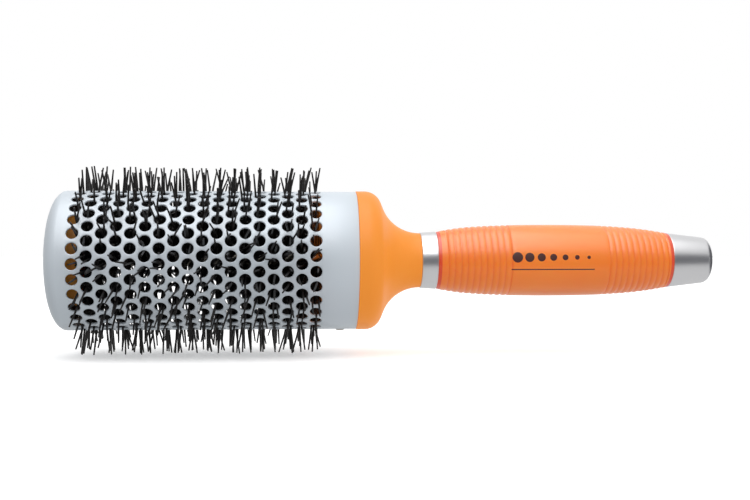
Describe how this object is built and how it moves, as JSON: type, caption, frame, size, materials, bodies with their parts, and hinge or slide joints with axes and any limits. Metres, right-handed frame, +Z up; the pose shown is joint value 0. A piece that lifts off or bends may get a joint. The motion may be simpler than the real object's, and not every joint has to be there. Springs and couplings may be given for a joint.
{
  "type": "round barrel hair brush",
  "caption": "Round hair brush: vented metal barrel with nylon bristles on a twisted wire core, tapered neck and ribbed gel grip with metal collar and end cap.",
  "frame": {"origin": "centre of the barrel's flat front face, on the brush's axis", "axes": "+X along the brush's axis from the barrel's front towards the handle's end; +Z up as the brush lies in front of the viewer, with the barrel's rivet underneath at -Z"},
  "size_m": [0.2551, 0.0726, 0.0726],
  "materials": {
    "barrel_coating": "satin ceramic coating",
    "orange_plastic": "satin",
    "grip_gel": "soft translucent gel",
    "core_plastic": "matt",
    "bristle_nylon": "satin",
    "core_wire": "drawn",
    "ferrule_metal": "crimped",
    "rivet_steel": "dull",
    "satin_metal": "satin"
  },
  "bodies": {
    "root": {"barrel_rivet": "rivet_steel", "barrel_tube": "barrel_coating", "bristle_row_01": "bristle_nylon", "bristle_row_02": "bristle_nylon", "bristle_row_03": "bristle_nylon", "bristle_row_04": "bristle_nylon", "bristle_row_05": "bristle_nylon", "bristle_row_06": "bristle_nylon", "bristle_row_07": "bristle_nylon", "bristle_row_08": "bristle_nylon", "bristle_row_09": "bristle_nylon", "bristle_row_10": "bristle_nylon", "bristle_row_11": "bristle_nylon", "bristle_row_12": "bristle_nylon", "bristle_row_13": "bristle_nylon", "bristle_row_14": "bristle_nylon", "bristle_row_15": "bristle_nylon", "bristle_row_16": "bristle_nylon", "bristle_row_17": "bristle_nylon", "bristle_row_18": "bristle_nylon", "collar_ring": "satin_metal", "end_cap": "satin_metal", "front_ferrule": "ferrule_metal", "front_plug": "orange_plastic", "gel_grip": "grip_gel", "handle_core": "core_plastic", "neck_shell": "orange_plastic", "rear_ferrule": "ferrule_metal", "wire_strand_a": "core_wire", "wire_strand_b": "core_wire"}
  },
  "joints": []
}
